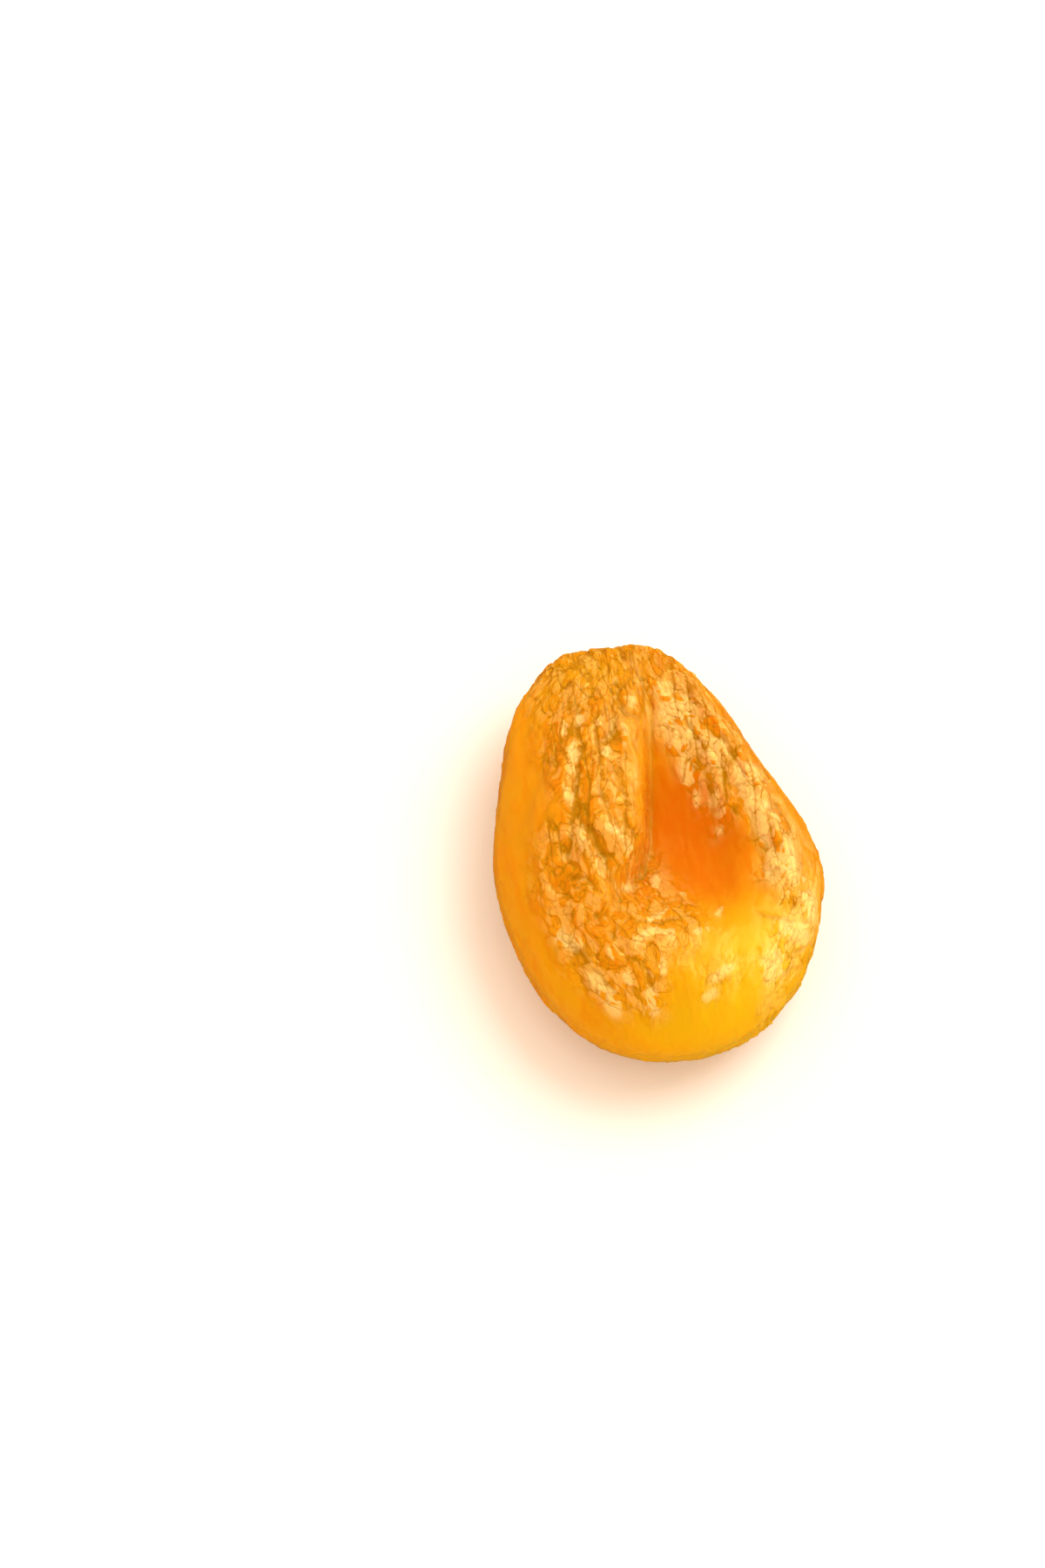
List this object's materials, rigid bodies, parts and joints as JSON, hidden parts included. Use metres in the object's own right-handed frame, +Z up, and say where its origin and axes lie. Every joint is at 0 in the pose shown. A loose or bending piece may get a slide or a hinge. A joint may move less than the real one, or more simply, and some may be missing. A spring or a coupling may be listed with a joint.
{
  "type": "dried apricot",
  "caption": "Whole pitted dried apricot with a plump wrinkled rim, a seam running from the stem end and a smooth sunken middle, lying flat with the sunken face up.",
  "frame": {"origin": "the point of the table under the middle of the fruit's box", "axes": "+Y runs to the stem end along the fruit's length, +Z is up through its thickness with the sunken face up, +X is to the right seen from above"},
  "size_m": [0.0304, 0.042, 0.014],
  "materials": {
    "apricot_skin": null
  },
  "bodies": {
    "root": {"dried_apricot": "apricot_skin"}
  },
  "joints": []
}
